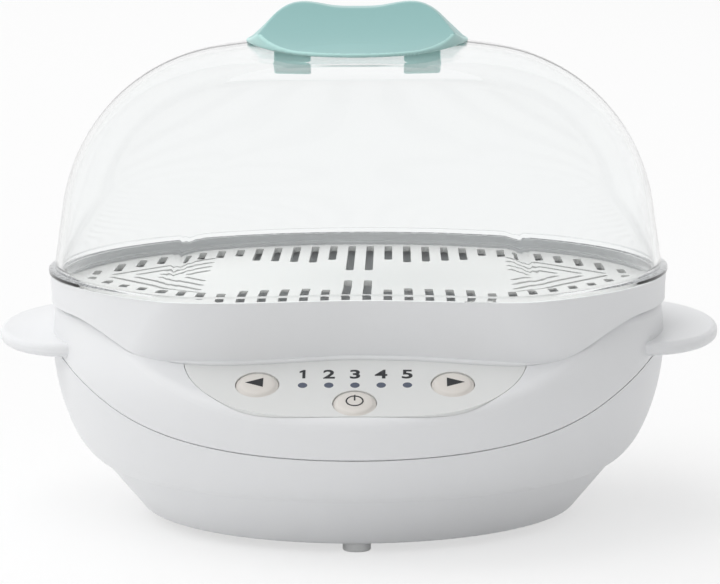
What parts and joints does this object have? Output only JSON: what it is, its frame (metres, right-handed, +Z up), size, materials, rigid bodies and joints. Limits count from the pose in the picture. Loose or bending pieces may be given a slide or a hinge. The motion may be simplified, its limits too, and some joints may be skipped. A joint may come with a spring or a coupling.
{
  "type": "bottle sterilizer",
  "caption": "Steam bottle sterilizer: round white base with a scooped collar and sloped control panel, slotted tray over a heated water bowl, clear dome lid with a saddle handle.",
  "frame": {"origin": "on the floor, under the centre of the round base", "axes": "+X to the right seen from the control panel, +Y away from the control panel towards the power inlet, +Z up"},
  "size_m": [0.259, 0.2287, 0.1826],
  "materials": {
    "white_plastic": "satin",
    "tray_plastic": "satin",
    "clear_plastic": "clear",
    "teal_plastic": "satin",
    "panel_grey": "matte",
    "led_lens": "gloss",
    "board": "matte",
    "black_plastic": "matte",
    "screw_steel": "brushed",
    "plate_steel": "brushed",
    "element_alloy": "satin",
    "brass": "satin",
    "rubber": "matte",
    "silicone": "matte"
  },
  "bodies": {
    "base": {"lower_housing": "white_plastic", "upper_housing": "white_plastic", "water_bowl": "white_plastic", "control_panel": "panel_grey", "led_windows": "led_lens", "status_leds": "led_lens", "control_board": "board", "tact_switches": "black_plastic", "board_screws": "screw_steel", "power_board": "board", "power_board_screws": "screw_steel", "relay": "black_plastic", "capacitor": "black_plastic", "power_inlet": "black_plastic", "inlet_pins": "brass", "housing_screws": "screw_steel", "feet": "rubber", "plate_seal": "silicone", "heating_plate": "plate_steel", "heating_element": "element_alloy", "element_terminals": "brass", "plate_clamp": "screw_steel", "clamp_screws": "screw_steel", "thermostat": "element_alloy", "thermal_fuse": "element_alloy"},
    "lid": {"dome_lid": "clear_plastic", "lid_handle": "teal_plastic"},
    "tray": {"slotted_tray": "tray_plastic"},
    "button_left": {"button_left": "white_plastic"},
    "button_power": {"button_power": "white_plastic"},
    "button_right": {"button_right": "white_plastic"}
  },
  "joints": [
    {"name": "lid_lift", "type": "slide", "parent": "base", "child": "lid", "axis": [0, 0, 1], "range_m": [0, 0.2]},
    {"name": "tray_lift", "type": "slide", "parent": "base", "child": "tray", "axis": [0, 0, 1], "range_m": [0, 0.09]},
    {"name": "button_left_press", "type": "slide", "parent": "base", "child": "button_left", "axis": [0, 0.4226, -0.9063], "range_m": [0, 0.001], "stiffness_N_per_m": 300},
    {"name": "button_power_press", "type": "slide", "parent": "base", "child": "button_power", "axis": [0, 0.4226, -0.9063], "range_m": [0, 0.001], "stiffness_N_per_m": 300},
    {"name": "button_right_press", "type": "slide", "parent": "base", "child": "button_right", "axis": [0, 0.4226, -0.9063], "range_m": [0, 0.001], "stiffness_N_per_m": 300}
  ],
  "couplings": [
    {"joint": "tray_lift", "follows": "lid_lift", "ratio": 0.45}
  ]
}
